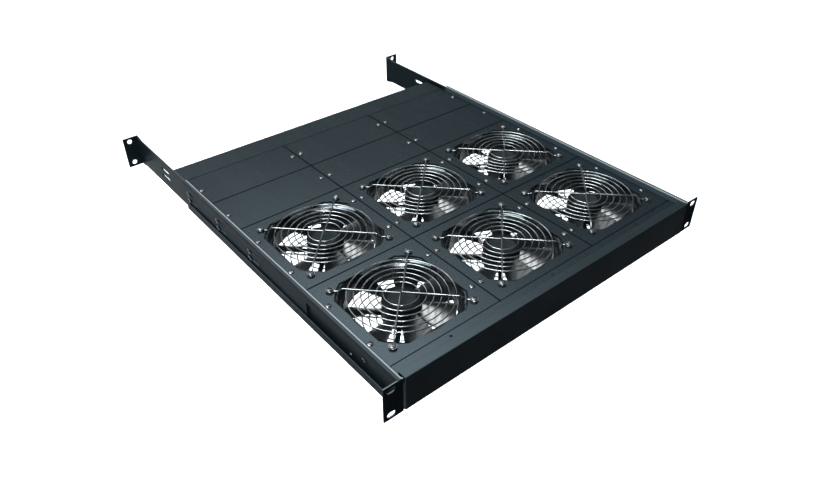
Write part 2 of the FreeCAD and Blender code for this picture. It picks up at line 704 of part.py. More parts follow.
def make_blade():
    """One blade: a twisted sheet of flat panels, from inside the hub's wall to near the passage."""
    def spot(reach, half, k):
        share = k / BLADE_STEPS
        angle = f"({half}*{1 - 2 * share})"
        bulge = f"<blade_camber>*{4 * share * (1 - share)}"
        return [number(f"({reach})*cos({angle} * 1 deg)"), number(f"({reach})*sin({angle} * 1 deg)"),
                number(f"-<blade_top>-<blade_thick>-(<blade_drop>-<blade_thick>)*{share}+{bulge}")]

    panels = []
    for k in range(BLADE_STEPS):
        a = spot("<hub_wide>/2-<hub_wall>/2", "<blade_root_half>", k)
        b = spot("<bore_wide>/2-<tip_gap>", "<blade_tip_half>", k)
        c = spot("<bore_wide>/2-<tip_gap>", "<blade_tip_half>", k + 1)
        d = spot("<hub_wide>/2-<hub_wall>/2", "<blade_root_half>", k + 1)
        for corners in ((a, b, c), (a, c, d)):
            edge = doc.addObject("Part::Polygon", "edge")
            edge.Nodes = [V(*corner) for corner in corners]
            edge.Close = True
            sheet_panel = doc.addObject("Part::Extrusion", "panel")
            sheet_panel.Base = edge
            sheet_panel.DirMode = "Custom"
            sheet_panel.Dir = V(0, 0, 1)
            sheet_panel.Solid = True
            bind(sheet_panel, LengthFwd="<blade_thick>")
            panels.append(sheet_panel)
    return fuse(*panels)


# ---------------------------------------------------------------- finger guard

RING_SIDES = [6, 6, 8, 8, 8, 8]


def make_guard():
    """Finger guard on a seat at zero: welded rings under two spokes bent at their middles."""
    spoke_low = "<guard_rise>"
    rings = []
    for i, sides in enumerate(RING_SIDES[:int(size("ring_count"))]):
        radius = f"<ring_first>+{i}*<ring_step>"
        outer = prism(sides, f"{radius}+<ring_wire>/2", "<ring_wire>", z=f"{spoke_low}-<ring_wire>")
        inner = prism(sides, f"{radius}-<ring_wire>/2", "<ring_wire>+2", z=f"{spoke_low}-<ring_wire>-1")
        rings.append(cut(outer, inner))
    spokes = []
    run = "<fan_screw_pitch>/2-<spoke_bend>"
    reach = f"sqrt(pow({run};2)+pow(<fan_screw_pitch>/2;2))-<bolt_wide>/2-0.1"
    for side in (-1, 1):
        arms = []
        for way in (-1, 1):
            arm = new_body("spoke_arm")
            sketch = outline(new_sketch(arm, "XZ_Plane"), [
                ("-<spoke_wire>/2", spoke_low), ("<guard_knee>", spoke_low), ("<guard_foot>", "0"), (reach, "0"),
                (reach, "<spoke_wire>"), ("<guard_foot>+1", "<spoke_wire>"),
                ("<guard_knee>+1", f"{spoke_low}+<spoke_wire>"),
                ("-<spoke_wire>/2", f"{spoke_low}+<spoke_wire>"),
            ])
            pad(arm, sketch, "<spoke_wire>", middle=True)
            turn(arm, V(0, 0, 1), f"{90 - side * 90} deg+{side * way}*atan(<fan_screw_pitch>/2/({run}))")
            arms.append(place(arm, f"{side}*<spoke_bend>"))
        spokes.append(fuse(*arms))
    return group(*rings, *spokes)


# ---------------------------------------------------------------- rails and brackets

def make_rail(side, way):
    """Side rail: an outward channel with lips, its front end bent out into the slotted ear."""
    body = new_body(f"{side}_rail")
    face = f"{way}*({SIDE_FACE})"
    web = f"{way}*<rail_half>"
    lip = f"{way}*(<rail_half>+<rail_flange>)"
    lip_in = f"{way}*(<rail_half>+<rail_flange>-<sheet_thick>)"
    top = "<rail_high>/2"
    bend = "<bend_out>*0.6"
    points = [(face, f"{top}-{bend}"), (f"{way}*({SIDE_FACE}+{bend})", top),
              (f"{way}*(<rail_half>+<rail_flange>-{bend})", top), (lip, f"{top}-{bend}"),
              (lip, f"{top}-<rail_lip>"), (lip_in, f"{top}-<rail_lip>"),
              (lip_in, f"{top}-<sheet_thick>"), (web, f"{top}-<sheet_thick>")]
    lower = [(x, f"-({z})") for x, z in reversed(points)]
    pad(body, outline(new_sketch(body, "XZ_Plane"), points + lower), "<rail_end>", reverse=True)
    ear = rectangle(new_sketch(body, "XZ_Plane"), face, f"{way}*<panel_wide>/2", "-<panel_high>/2",
                    "<panel_high>/2")
    pad(body, ear, "<sheet_thick>")
    slots = new_sketch(body, "XZ_Plane")
    for k in (-1, 1):
        slot(slots, f"{way}*<ear_hole_span>/2", f"{k}*<ear_hole_rise>/2", "<ear_slot_long>", "<ear_slot_high>")
    pocket(body, slots)
    holes = new_sketch(body, "YZ_Plane")
    for k in range(int(size("clamp_count"))):
        for j in (-1, 1):
            polygon(holes, clamp_y(k), f"{j}*<clamp_rise>/2", "<clamp_wide>/2+<clamp_play>")
    polygon(holes, "<rail_hole_place>", "-<rail_hole_drop>", "<rail_hole_wide>/2")
    pocket(body, holes)
    keep(f"{side}_rail", body)


def clamp_y(k):
    return f"<rail_end>-<clamp_first>-{k}*<clamp_pitch>"


def make_bracket(side, way):
    """Rear bracket: a flat arm that slides behind the rail's lips, bent out into the rear ear."""
    body = new_body(f"{side}_rear_bracket")
    inner = f"{way}*(<rail_half>+<bracket_play>)"
    outer = f"{way}*(<rail_half>+<bracket_play>+<bracket_thick>)"
    half = "(<rail_high>/2-<sheet_thick>-<bracket_play>)"
    end = "<bracket_start>+<bracket_long>"
    arm = outline(new_sketch(body, "YZ_Plane", inner), [
        ("<bracket_start>", f"-{half}"), (f"{end}-<bracket_flare>", f"-{half}"),
        (f"{end}-<bracket_flare>/3", "-<panel_high>/2"), (end, "-<panel_high>/2"), (end, "<panel_high>/2"),
        (f"{end}-<bracket_flare>/3", "<panel_high>/2"), (f"{end}-<bracket_flare>", half),
        ("<bracket_start>", half),
    ])
    pad(body, arm, "<bracket_thick>", reverse=way < 0)
    ear = rectangle(new_sketch(body, "XZ_Plane", f"-({end})"), inner, f"{way}*<panel_wide>/2",
                    "-<panel_high>/2", "<panel_high>/2")
    pad(body, ear, "<bracket_thick>")
    holes = new_sketch(body, "XZ_Plane")
    for k in (-1, 1):
        circle(holes, f"{way}*<ear_hole_span>/2", f"{k}*<ear_hole_rise>/2", "<rear_hole_wide>/2")
    pocket(body, holes)
    slots = new_sketch(body, "YZ_Plane")
    for k in range(int(size("clamp_count")) + 1):
        for j in (-1, 1):
            plain_slot(slots, f"{clamp_y(k - 1)}-<slot_rest>", f"{j}*<clamp_rise>/2",
                       "<slot_long>", "<slot_high>")
    pocket(body, slots)
    keep(f"{side}_rear_bracket", body)


def make_clamp_screws():
    """Clamp screws: through a bracket slot into the rail's web, head on the bracket."""
    screws = []
    for _, way in SIDES:
        for k in range(int(size("clamp_count"))):
            for j in (-1, 1):
                long = "<bracket_play>+<bracket_thick>+<sheet_thick>"
                shank = prism(6, "<clamp_wide>/2", f"{long}+<clamp_head_high>/2")
                head = prism(8, "<clamp_head_wide>/2", "<clamp_head_high>", z=long)
                screw = fuse(shank, head)
                screw.Placement.Rotation = FreeCAD.Rotation(V(0, 1, 0), 90 * way)
                screws.append(place(screw, f"{way}*({SIDE_FACE})", clamp_y(k), f"{j}*<clamp_rise>/2"))
    keep("clamp_screws", group(*screws))


def make_rail_screws():
    """Heads of the screws that hold each rail to the tray's side, on the outside of its web."""
    heads = []
    for _, way in SIDES:
        head = prism(8, "<rail_screw_wide>/2", "<rail_screw_high>")
        head.Placement.Rotation = FreeCAD.Rotation(V(0, 1, 0), 90 * way)
        heads.append(place(head, f"{way}*<rail_half>", "<rail_screw_place>", "0"))
    keep("rail_screws", group(*heads))


# ---------------------------------------------------------------- fasteners on the deck

def make_guard_bolts():
    """Guard bolts: one long bolt at each corner of a fan, with a nut under the lower guard."""
    bolts = []
    nuts = []
    seat = "<deck_top>+<spoke_wire>"
    low = f"{DECK_UNDER}-<fan_thick>-<spoke_wire>"
    for _, i, j in FANS:
        for a, b in fan_corners():
            spot = {"x": f"{column_x(i)}+{a}*<fan_screw_pitch>/2", "y": f"{fan_y(j)}+{b}*<fan_screw_pitch>/2"}
            shank = prism(6, "<bolt_wide>/2", f"{seat}-({low})+<bolt_head_high>/2", z=low, **spot)
            head = prism(8, "<bolt_head_wide>/2", "<bolt_head_high>", z=seat, **spot)
            bolts.append(fuse(shank, head))
            nuts.append(prism(6, "<nut_wide>/2", "<nut_high>", z=f"{low}-<nut_high>", **spot))
    keep("guard_bolts", group(*bolts))
    keep("guard_nuts", group(*nuts))


def make_plate_screws():
    """Heads of the plates' screws: four on a fan plate, two on a blank plate."""
    heads = []
    for i in (-1, 0, 1):
        for side in (-1, 1):
            x = f"{column_x(i)}+{side}*<plate_screw_span>/2"
            rows = [f"{fan_y(j)}+{k}*<plate_screw_pitch>/2" for j in range(2) for k in (-1, 1)]
            rows += [blank_y(j) for j in range(2)]
            for y in rows:
                heads.append(prism(6, "<screw_head_wide>/2", "<screw_head_high>", x=x, y=y, z="<deck_top>"))
    keep("plate_screws", group(*heads))


# ---------------------------------------------------------------- power inlet

def make_inlet():
    """Power inlet in the rear wall: a rimmed box open to the rear, with three pins."""
    middle = "<deck_top>/2+<frame_low>/2"
    face = TRAY_BACK
    x0 = "<inlet_place>-<inlet_wide>/2"
    x1 = "<inlet_place>+<inlet_wide>/2"
    z0 = f"{middle}-<inlet_high>/2"
    z1 = f"{middle}+<inlet_high>/2"
    body = block(x0, x1, f"{face}-<inlet_deep>", face, z0, z1)
    rim = block(f"{x0}-<inlet_rim>", f"{x1}+<inlet_rim>", face, f"{face}+<inlet_rim_thick>",
                f"{z0}-<inlet_rim>", f"{z1}+<inlet_rim>")
    well = block(f"{x0}+<inlet_wall>", f"{x1}-<inlet_wall>", f"{face}-<inlet_deep>+<inlet_wall>",
                 f"{face}+<inlet_rim_thick>+1", f"{z0}+<inlet_wall>", f"{z1}-<inlet_wall>")
    pins = [block(f"<inlet_place>+{k}*<pin_pitch>-1", f"<inlet_place>+{k}*<pin_pitch>+1",
                  f"{face}-<inlet_deep>+<inlet_wall>/2", f"{face}-<inlet_wall>",
                  f"{middle}-2+{2 - 2 * abs(k)}", f"{middle}+2+{2 - 2 * abs(k)}")
            for k in (-1, 0, 1)]
    keep("power_inlet", fuse(cut(fuse(body, rim), well), *pins))


# ---------------------------------------------------------------- assembly

make_fascia()
make_front_member()
make_rear_member()
for side, way in SIDES:
    make_side_member(side, way)
    make_inner_bar(side, way)
    make_rail(side, way)
    make_bracket(side, way)
make_clamp_screws()
make_rail_screws()

fan_plate = make_fan_plate()
housing = make_housing()
stator = make_stator()
impeller = make_impeller()
guard = make_guard()
for fan, i, j in FANS:
    x = column_x(i)
    y = fan_y(j)
    copy_of(f"{fan}_fan_plate", fan_plate, x, y, DECK_UNDER)
    copy_of(f"{fan}_fan_housing", housing, x, y, DECK_UNDER)
    copy_of(f"{fan}_stator", stator, x, y, f"{DECK_UNDER}-<fan_thick>+<base_thick>")
    turn(copy_of(f"{fan}_impeller", impeller, x, y, DECK_UNDER), V(0, 0, 1), "<blade_turn>")
    copy_of(f"{fan}_top_guard", guard, x, y, "<deck_top>")
    lower = copy_of(f"{fan}_bottom_guard", guard, x, y, f"{DECK_UNDER}-<fan_thick>")
    lower.Placement.Rotation = FreeCAD.Rotation(V(0, 1, 0), 180)

blank_plate = make_blank_plate()
for j, row in enumerate(("third", "rear")):
    for column, i in COLUMNS:
        copy_of(f"{row}_{column}_blank_plate", blank_plate, column_x(i), blank_y(j), DECK_UNDER)

make_guard_bolts()
make_plate_screws()
make_inlet()
doc.recompute()

# ---------------------------------------------------------------- tests and files

for item in doc.Objects:
    if "Invalid" in item.State or "Error" in item.State:
        raise RuntimeError(f"{item.Label} is not sound: {item.State}")
for node, item in parts.items():
    if item.Shape.isNull() or not item.Shape.isValid():
        raise RuntimeError(f"{node} has no sound shape")
    if not item.Shape.Solids:
        raise RuntimeError(f"{node} holds no solid")

os.makedirs("parts", exist_ok=True)
for node, item in parts.items():
    item.Shape.exportStep(f"parts/{node}.step")
print(len(parts), "sub-parts written")
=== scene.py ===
# Looks of the rack fan tray: coats on the folded steel and castings, and modelled wire guards,
# impellers and screws in place of their plain solids. Metres, in the frame of the solid model.
import math
import bmesh
import bpy
from mathutils import Matrix, Vector


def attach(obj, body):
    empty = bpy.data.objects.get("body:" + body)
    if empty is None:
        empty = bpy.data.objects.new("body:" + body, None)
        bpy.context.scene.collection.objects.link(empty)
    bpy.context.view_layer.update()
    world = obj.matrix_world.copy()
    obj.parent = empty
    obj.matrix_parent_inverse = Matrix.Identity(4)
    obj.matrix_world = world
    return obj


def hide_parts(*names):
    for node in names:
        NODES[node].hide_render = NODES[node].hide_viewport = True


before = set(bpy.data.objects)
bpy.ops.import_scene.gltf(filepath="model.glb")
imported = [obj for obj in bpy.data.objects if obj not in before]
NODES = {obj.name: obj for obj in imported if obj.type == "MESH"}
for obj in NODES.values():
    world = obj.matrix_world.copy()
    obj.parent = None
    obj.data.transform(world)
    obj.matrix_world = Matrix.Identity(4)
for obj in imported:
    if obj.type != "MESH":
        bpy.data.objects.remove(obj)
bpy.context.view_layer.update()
TRAY = "tray"
MM = 0.001

# ------------------------------------------------------------------ shared places
# Where the deck's columns and rows, the fans, the rails and the power inlet sit. Materials
# that change across a part and the pieces set down on it both use these.

COLUMN = 145.5 * MM
FAN_PITCH = 140.0 * MM
FAN_ROWS = (92.0 * MM, 232.0 * MM)
BLANK_ROWS = (337.0 * MM, 407.0 * MM)
PLATE_SEAMS = (22.0 * MM, 162.0 * MM, 302.0 * MM, 372.0 * MM, 442.0 * MM)
FAN_X = {"left": -COLUMN, "middle": 0.0, "right": COLUMN}
FANS = [(f"{row}_{side}", FAN_X[side], y)
        for row, y in zip(("front", "second"), FAN_ROWS) for side in ("left", "middle", "right")]
DECK_TOP = 14.5 * MM
HOUSING_TOP = 13.0 * MM
HOUSING_LOW = -12.0 * MM
HUB_RADIUS = 21.0 * MM
RAIL_HALF = 220.0 * MM
INLET_X = 150.0 * MM
PIN_PITCH = 7.0 * MM

# ------------------------------------------------------------------ scene helpers
# Putting data into the scene, and freezing what an object's modifiers make.


def placed(name, data):
    """An object in the scene that shows a mesh, curve, light or camera."""
    made = bpy.data.objects.new(name, data)
    bpy.context.scene.collection.objects.link(made)
    return made


def drop(*objects):
    """Takes helper objects out again."""
    for item in objects:
        bpy.data.objects.remove(item)


def frozen(thing):
    """The plain mesh that an object's modifiers make."""
    bpy.context.view_layer.update()
    return bpy.data.meshes.new_from_object(thing.evaluated_get(bpy.context.evaluated_depsgraph_get()))


# ------------------------------------------------------------------ node helpers
# Short ways to add nodes. A wrapped socket takes plain arithmetic, so a shader or a node tree
# reads like a formula.


def node(tree, kind, inputs=None, **settings):
    """Adds a node, sets its properties, and links or sets its inputs by name or number."""
    made = tree.nodes.new(kind)
    for name, value in settings.items():
        setattr(made, name, value)
    for key, value in (inputs or {}).items():
        feed(tree, made.inputs[key], value)
    return made


def feed(tree, socket, value):
    """Links a wrapped value into a socket, or sets a plain one."""
    if isinstance(value, Value):
        tree.links.new(value.socket, socket)
    elif isinstance(value, bpy.types.NodeSocket):
        tree.links.new(value, socket)
    else:
        socket.default_value = value


class Value:
    """A number or vector in a node tree. Arithmetic on it adds the matching nodes."""

    def __init__(self, tree, socket):
        self.tree = tree
        self.socket = socket

    def math(self, operation, *others):
        """Any operation of the maths node, with this value first."""
        made = node(self.tree, "ShaderNodeMath", operation=operation)
        for i, value in enumerate((self,) + others):
            feed(self.tree, made.inputs[i], value)
        return Value(self.tree, made.outputs[0])

    def swapped(self, operation, other):
        """An operation with this value second, for the reflected operators."""
        made = node(self.tree, "ShaderNodeMath", operation=operation)
        feed(self.tree, made.inputs[0], other)
        feed(self.tree, made.inputs[1], self)
        return Value(self.tree, made.outputs[0])

    def __add__(self, other):
        return self.math("ADD", other)

    def __radd__(self, other):
        return self.swapped("ADD", other)

    def __sub__(self, other):
        return self.math("SUBTRACT", other)

    def __rsub__(self, other):
        return self.swapped("SUBTRACT", other)

    def __mul__(self, other):
        return self.math("MULTIPLY", other)

    def __rmul__(self, other):
        return self.swapped("MULTIPLY", other)

    def __truediv__(self, other):
        return self.math("DIVIDE", other)

    def __rtruediv__(self, other):
        return self.swapped("DIVIDE", other)

    def ramp(self, low, high):
        """Smooth step from 0 at low to 1 at high."""
        made = node(self.tree, "ShaderNodeMapRange", {0: self, 1: low, 2: high},
                    interpolation_type="SMOOTHSTEP")
        return Value(self.tree, made.outputs[0])

    def parts(self):
        """The x, y and z of a vector."""
        made = node(self.tree, "ShaderNodeSeparateXYZ", {0: self})
        return [Value(self.tree, made.outputs[i]) for i in range(3)]


# Matt black for painted shade: in the gaps between the plates and on forward faces near the front.
PAINTED_SHADE_BLACK = (0.0024, 0.0034, 0.0044, 1.0)


class Look:
    """A material under construction: texture coordinates, noises, colours and the final shader."""

    def __init__(self, name):
        self.material = bpy.data.materials.new(name)
        self.material.use_nodes = True
        self.tree = self.material.node_tree
        self.tree.nodes.clear()
        spot = node(self.tree, "ShaderNodeTexCoord")
        self.place = Value(self.tree, spot.outputs["Object"])
        self.facing = Value(self.tree, spot.outputs["Normal"])

    def stretched(self, x, y, z):
        """The place, scaled along each axis to draw a noise out."""
        made = node(self.tree, "ShaderNodeMapping", {"Vector": self.place, "Scale": (x, y, z)})
        return Value(self.tree, made.outputs[0])

    def noise(self, scale, detail=3.0, rough=0.5, vector=None):
        """Cloudy noise from 0 to 1."""
        made = node(self.tree, "ShaderNodeTexNoise",
                    {"Vector": vector or self.place, "Scale": scale, "Detail": detail, "Roughness": rough})
        return Value(self.tree, made.outputs["Fac"])

    def blend(self, factor, first, second):
        """Colour from first at 0 to second at 1."""
        made = node(self.tree, "ShaderNodeMix", data_type="RGBA")
        for i, value in ((0, factor), (6, first), (7, second)):
            if isinstance(value, tuple):
                value = (*value, 1.0)
            feed(self.tree, made.inputs[i], value)
        return Value(self.tree, made.outputs[2])

    def bump(self, height, strength, distance):
        """A fine relief from a height."""
        made = node(self.tree, "ShaderNodeBump",
                    {"Height": height, "Strength": strength, "Distance": distance})
        return Value(self.tree, made.outputs[0])

    def finish(self, painted_shade=None, **inputs):
        """The final shader. Where the painted shade mask is 1 the surface is matt black painted shade with
        no reflection.
        """
        shader = node(self.tree, "ShaderNodeBsdfPrincipled",
                      {key.replace("_", " "): value for key, value in inputs.items()})
        if painted_shade is not None:
            matt = node(self.tree, "ShaderNodeBsdfDiffuse", {"Color": PAINTED_SHADE_BLACK})
            shader = node(self.tree, "ShaderNodeMixShader",
                          {0: painted_shade, 1: shader.outputs[0], 2: matt.outputs[0]})
        node(self.tree, "ShaderNodeOutputMaterial", {"Surface": shader.outputs[0]})
        return self.material


# ------------------------------------------------------------------ materials
# Each one mixes noises of several sizes into its colour, roughness and relief. Where a look
# changes across one part, the change follows the place or the way the surface faces.

SEAM_HALF = 0.6 * MM
INNER_TONE_END = 434.0 * MM
FRONT_END = 20.0 * MM
COAT_PALE = (0.010, 0.014, 0.017)
COAT_DEEP = (0.006, 0.009, 0.011)
COAT_DUST = (0.008, 0.013, 0.016)
FLARE_RADIUS = 58.7 * MM
FLARE_FOOT = 4.5 * MM
DISH_RADIUS = 14.6 * MM
PIN_HALF = 1.01 * MM
PIN_START = 464.1 * MM
PIN_END = 476.8 * MM
PIN_MIDDLE = -1.65 * MM


def powder_coat(name, dust_and_sheen, inner, rough, shine, pale=COAT_PALE, deep=COAT_DEEP,
                seams=False, front=False, crest_highlight=False):
    """Fine-textured powder coat: cloudy colour, rolled grain and orange peel. Upward faces take the top
    tone: a faint dusting on the deck, plates and fascia, and a painted sheen on the rails. Inward faces
    take the inner tone, which is painted light or painted shade. Seams paint shade into the gaps
    between the plates. Front makes the forward faces matt black as painted shade, and crest does that
    too and paints a highlight line along the rails' inner top edges."""
    look = Look(name)
    x, y, _ = look.place.parts()
    facing_x, facing_y, facing_z = look.facing.parts()
    cloud = look.noise(9.0, 4.0, 0.6)
    grit = look.noise(2600.0, 2.0, 0.6)
    peel = look.noise(900.0, 2.0, 0.5)
    rolled = look.noise(260.0, 3.0, 0.6, look.stretched(0.12, 1.0, 1.0))
    smear = look.noise(3.0, 5.0, 0.7, look.stretched(1.0, 0.25, 1.0))
    tone = (cloud * 0.45 + smear * 0.3 + rolled * 0.25).ramp(0.3, 0.7)
    colour = look.blend(tone, deep, pale)
    # Painted highlight: a pale line along the rails' inner top edges, with a dimmer painted sheen on the
    # flange top beside it.
    if crest_highlight:
        past = x.math("ABSOLUTE") - RAIL_HALF
        trough = past.ramp(-0.1 * MM, 0.5 * MM) * (1.0 - past.ramp(4.6 * MM, 5.0 * MM))
        dust_and_sheen = look.blend(trough, dust_and_sheen, (0.040, 0.049, 0.054))
        dust_and_sheen = look.blend(1.0 - past.ramp(-0.1 * MM, 1.1 * MM), dust_and_sheen, (0.24, 0.265, 0.275))
    # Upward faces take the top tone: a painted sheen of light from above on the rails, a faint dusting
    # elsewhere.
    colour = look.blend(facing_z.ramp(0.55, 0.97) * (0.55 + smear * 0.3 + grit * 0.3), colour, dust_and_sheen)
    # Painted light: faces turned in towards the middle take the inner tone, lighter on the deck and rails
    # and darker on the fascia, as far back as the end of the walls.
    inward = (facing_x * x.math("SIGN") * -1.0).ramp(0.6, 0.9)
    inward = inward * (1.0 - y.ramp(INNER_TONE_END - 1.0 * MM, INNER_TONE_END + 1.0 * MM))
    colour = look.blend(inward * (0.6 + smear * 0.4), colour, inner)
    painted_shade = None
    # Painted shade: the gaps between the plates go matt black.
    if seams:
        nearest = (x.math("ABSOLUTE") - COLUMN / 2).math("ABSOLUTE")
        for seam in PLATE_SEAMS:
            nearest = nearest.math("MINIMUM", (y - seam).math("ABSOLUTE"))
        painted_shade = (1.0 - nearest.ramp(SEAM_HALF, 2 * SEAM_HALF)) * (0.65 + smear * 0.4)
    # Painted shade: faces turned forward near the front go matt black with no reflection.
    if front or crest_highlight:
        near = 1.0 - y.ramp(FRONT_END, FRONT_END + 10.0 * MM)
        painted_shade = (facing_y * -1.0).ramp(0.5, 0.9) * (0.91 + smear * 0.1) * near
    relief = look.bump(peel * 0.35 + grit * 0.3 + rolled * 0.35, 0.13, 0.00008)
    return look.finish(painted_shade, Base_Color=colour, Normal=relief,
                       Roughness=(smear - 0.5) * 0.14 + (grit - 0.5) * 0.12 + rough,
                       Specular_IOR_Level=shine, Specular_Tint=(0.72, 0.90, 1.0, 1.0))


# The rails' bright top tone is a painted sheen. The inner tones are painted light on the deck and rails and
# painted shade on the fascia.
plate_coat = powder_coat("plate_powder_coat", COAT_DUST, COAT_DUST, 0.27, 0.60, seams=True)
deck_coat = powder_coat("deck_powder_coat", COAT_DUST, (0.040, 0.055, 0.064), 0.28, 0.60)
frame_coat = powder_coat("frame_powder_coat", (0.108, 0.127, 0.137), (0.052, 0.071, 0.081), 0.30, 0.01,
                         (0.007, 0.012, 0.015), (0.004, 0.007, 0.009), crest_highlight=True)
cover_coat = powder_coat("cover_powder_coat", (0.010, 0.016, 0.019), (0.004, 0.006, 0.007), 0.30, 0.60,
                         front=True)


def wire_finish():
    """Dark plated guard wire: satin metal with drawing streaks and faint smudges."""
    look = Look("guard_wire_plating")
    streak = look.noise(1500.0, 2.0, 0.5, look.stretched(1.0, 1.0, 0.1))
    smudge = look.noise(45.0, 4.0, 0.6)
    colour = look.blend(smudge.ramp(0.35, 0.7), (0.13, 0.142, 0.148), (0.31, 0.33, 0.34))
    return look.finish(Base_Color=colour, Metallic=0.9,
                       Roughness=0.2 + (smudge - 0.5) * 0.16 + (streak - 0.5) * 0.1,
                       Normal=look.bump(streak, 0.15, 0.00003))


def about_fan(look):
    """How far a place is from the axis of its fan: along x, along y, and straight out."""
    x, y, _ = look.place.parts()
    across = x.math("WRAP", COLUMN / 2, -COLUMN / 2)
    along = (y - FAN_ROWS[0]).math("WRAP", FAN_PITCH / 2, -FAN_PITCH / 2)
    return across, along, (across * across + along * along).math("SQRT")


def cast_finish():
    """Painted die casting: grainy dark body, with a turned inlet flare at the top."""
    look = Look("fan_casting")
    z = look.place.parts()[2]
    across, along, radius = about_fan(look)
    grain = look.noise(700.0, 3.0, 0.6)
    cloud = look.noise(30.0, 4.0, 0.6)
    angle = along.math("ARCTAN2", across)
    wound = node(look.tree, "ShaderNodeCombineXYZ", {0: angle * 2.0, 1: z * 900.0, 2: radius * 500.0})
    turned = look.noise(1.6, 3.0, 0.6, Value(look.tree, wound.outputs[0]))
    flare = radius.ramp(FLARE_RADIUS, FLARE_RADIUS + 0.5 * MM)
    flare = flare * z.ramp(FLARE_FOOT, FLARE_FOOT + 2.0 * MM)
    flare = flare * (1.0 - z.ramp(HOUSING_TOP - 0.2 * MM, HOUSING_TOP))
    dark = look.blend(cloud.ramp(0.3, 0.7), (0.002, 0.005, 0.007), (0.005, 0.010, 0.013))
    bright = look.blend(turned.ramp(0.3, 0.7), (0.012, 0.017, 0.020), (0.080, 0.092, 0.098))
    return look.finish(Base_Color=look.blend(flare, dark, bright), Metallic=flare * 0.9,
                       Specular_IOR_Level=0.08,
                       Roughness=0.42 + (grain - 0.5) * 0.2 - flare * 0.25 + (turned - 0.5) * 0.1,
                       Normal=look.bump(grain * (1.0 - flare) + turned * flare, 0.3, 0.00012))


def impeller_finish():
    """Black moulding: glossy blades with faint flow marks, a matt hub and a paler dish in its top."""
    look = Look("impeller_plastic")
    radius = about_fan(look)[2]
    hub = 1.0 - radius.ramp(HUB_RADIUS + 0.2 * MM, HUB_RADIUS + 0.8 * MM)
    dish = 1.0 - radius.ramp(DISH_RADIUS, DISH_RADIUS + 0.4 * MM)
    flow = look.noise(60.0, 4.0, 0.6, look.stretched(1.0, 1.0, 3.0))
    spark = look.noise(1900.0, 2.0, 0.5)
    colour = look.blend(flow.ramp(0.3, 0.7), (0.0025, 0.004, 0.005), (0.006, 0.008, 0.010))
    colour = look.blend(dish, colour, (0.016, 0.021, 0.024))
    return look.finish(Base_Color=colour, Specular_IOR_Level=0.12, Coat_Roughness=0.21, Coat_IOR=1.5,
                       Roughness=0.3 + hub * 0.25 + dish * 0.1 + (flow - 0.5) * 0.1,
                       Coat_Weight=1.0 - hub, Normal=look.bump(spark * (0.15 + hub), 0.15, 0.00005))


def inlet_finish():
    """Satin black thermoset with a fine grain, and three nickel pins told apart by their place."""
    look = Look("inlet_plastic")
    x, y, z = look.place.parts()
    offset = (x - (INLET_X + PIN_PITCH / 2)).math("WRAP", PIN_PITCH, 0.0) - PIN_PITCH / 2
    pin = 1.0 - offset.math("ABSOLUTE").ramp(PIN_HALF, PIN_HALF + 0.11 * MM)
    pin = pin * (1.0 - (x - INLET_X).math("ABSOLUTE").ramp(8.4 * MM, 8.6 * MM))
    pin = pin * y.ramp(PIN_START, PIN_START + 0.3 * MM) * (1.0 - y.ramp(PIN_END - 0.3 * MM, PIN_END))
    pin = pin * (1.0 - (z - PIN_MIDDLE).math("ABSOLUTE").ramp(3.2 * MM, 3.5 * MM))
    grain = look.noise(1400.0, 3.0, 0.6)
    drift = look.noise(60.0, 3.0, 0.6)
    black = look.blend(drift.ramp(0.3, 0.7), (0.006, 0.007, 0.008), (0.013, 0.014, 0.015))
    return look.finish(Base_Color=look.blend(pin, black, (0.62, 0.60, 0.55)), Metallic=pin * 0.95,
                       Roughness=0.45 + (grain - 0.5) * 0.2 - pin * 0.15, Specular_IOR_Level=0.4,
                       Normal=look.bump(grain * (1.0 - pin), 0.15, 0.00006))


def metal(name, pale, deep, rough):
    """Blackened or plain metal with cloudy tone and fine scratches; darker on the outer sides."""
    look = Look(name)
    cloud = look.noise(160.0, 3.0, 0.6)
    scratch = look.noise(2200.0, 2.0, 0.6, look.stretched(1.0, 0.15, 1.0))
    side = look.place.parts()[0].math("ABSOLUTE").ramp(RAIL_HALF - 3.0 * MM, RAIL_HALF - 2.0 * MM)
    colour = look.blend(side, look.blend(cloud.ramp(0.3, 0.7), deep, pale), (0.022, 0.026, 0.028))
    return look.finish(Base_Color=colour, Metallic=0.9,
                       Roughness=rough + (cloud - 0.5) * 0.16 + (scratch - 0.5) * 0.1,
                       Normal=look.bump(scratch, 0.2, 0.00004))


guard_wire = wire_finish()
casting = cast_finish()
blade_plastic = impeller_finish()
inlet_plastic = inlet_finish()
black_metal = metal("blackened_screws", (0.21, 0.22, 0.23), (0.10, 0.105, 0.11), 0.24)
motor_iron = metal("motor_iron", (0.2, 0.19, 0.18), (0.12, 0.11, 0.1), 0.5)

# ------------------------------------------------------------------ folded steel and castings
# The solids keep their shapes. Flat facets are joined, edges get a small radius, and each
# group of parts gets its own coat.


def soften(part, width, material):
    """A fine edge radius and a material on a solid of the frame."""
    part.modifiers.new("one_skin", "WELD").merge_threshold = 1e-6
    flat = part.modifiers.new("joined_facets", "DECIMATE")
    flat.decimate_type = "DISSOLVE"
    flat.angle_limit = math.radians(0.6)
    edge = part.modifiers.new("edge_radius", "BEVEL")
    edge.width = width
    edge.segments = 2
    edge.limit_method = "ANGLE"
    edge.angle_limit = math.radians(35)
    weigh = part.modifiers.new("even_shading", "WEIGHTED_NORMAL")
    weigh.keep_sharp = True
    for face in part.data.polygons:
        face.use_smooth = True
    paint(part, material)


def paint(part, material):
    """One material over the whole of a solid."""
    if not part.data.materials:
        part.data.materials.append(material)
    for i in range(len(part.data.materials)):
        part.data.materials[i] = material


